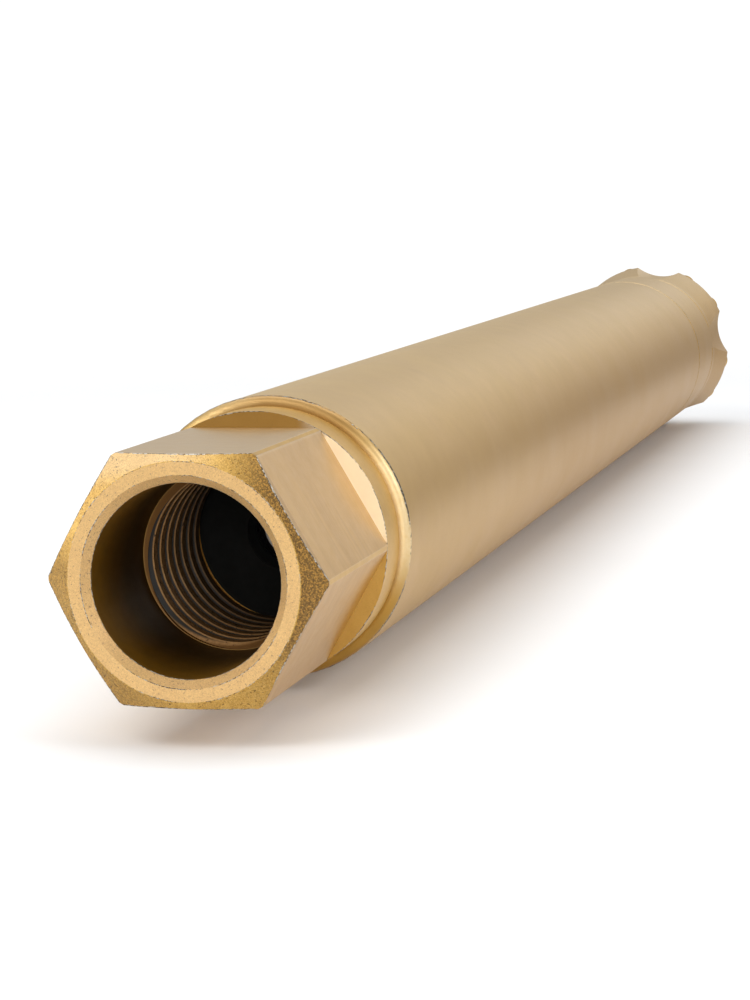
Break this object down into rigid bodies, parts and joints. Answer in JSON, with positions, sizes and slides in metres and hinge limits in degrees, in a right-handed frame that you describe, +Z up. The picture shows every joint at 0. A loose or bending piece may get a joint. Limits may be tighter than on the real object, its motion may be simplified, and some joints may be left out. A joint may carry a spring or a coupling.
{
  "type": "down-the-hole drilling hammer",
  "caption": "Gold-painted air-driven down-the-hole rock drilling hammer: hexagonal rear end with threaded rod socket, long round barrel and fluted button bit.",
  "frame": {"origin": "on the hammer's axis, in the plane of the rear end face of the hexagon, where the drill rod screws in", "axes": "+X along the axis from the hexagonal rear end to the bit, +Z up, square to one flat of the hexagon, +Y along the other two corners"},
  "size_m": [0.8535, 0.0874, 0.087],
  "materials": {
    "gold_paint": "gold metallic paint over machined steel, speckled, chipped to bare steel on sharp edges",
    "bit_steel": "gold metallic paint over forged and machined alloy steel",
    "carbide": "ground tungsten carbide",
    "machined_steel": "ground and oiled",
    "spring_steel": "oil-blackened",
    "brass": "turned",
    "rubber": "matt nitrile"
  },
  "bodies": {
    "hammer_body": {"top_sub": "gold_paint", "casing": "gold_paint", "drive_chuck": "gold_paint", "top_sub_o_ring": "rubber", "preload_ring": "spring_steel", "valve_cover": "machined_steel", "choke_plug": "brass", "valve_seat": "machined_steel", "valve_seat_o_ring": "rubber", "locating_pins": "machined_steel", "inner_cylinder": "machined_steel", "cylinder_o_ring": "rubber", "guide_stop_ring": "spring_steel", "guide_bush": "machined_steel", "guide_bush_o_ring": "rubber", "retaining_half_left": "machined_steel", "retaining_half_right": "machined_steel", "retaining_ring_band": "rubber", "chuck_o_ring": "rubber", "check_valve_spring": "spring_steel"},
    "check_valve": {"check_valve": "machined_steel", "check_valve_seal": "rubber"},
    "valve_disc": {"valve_disc": "machined_steel"},
    "piston": {"piston": "machined_steel"},
    "drill_bit": {"bit_body": "bit_steel", "gauge_buttons": "carbide", "face_buttons": "carbide"}
  },
  "joints": [
    {"name": "check_valve_travel", "type": "slide", "parent": "hammer_body", "child": "check_valve", "axis": [1, 0, 0], "range_m": [0, 0.009], "stiffness_N_per_m": 4200, "springref_m": -0.004, "deforming": ["check_valve_spring"]},
    {"name": "valve_disc_travel", "type": "slide", "parent": "hammer_body", "child": "valve_disc", "axis": [1, 0, 0], "range_m": [0, 0.0013]},
    {"name": "piston_stroke", "type": "slide", "parent": "hammer_body", "child": "piston", "axis": [1, 0, 0], "range_m": [-0.09, 0]},
    {"name": "bit_float", "type": "slide", "parent": "hammer_body", "child": "drill_bit", "axis": [1, 0, 0], "range_m": [0, 0.022]}
  ]
}
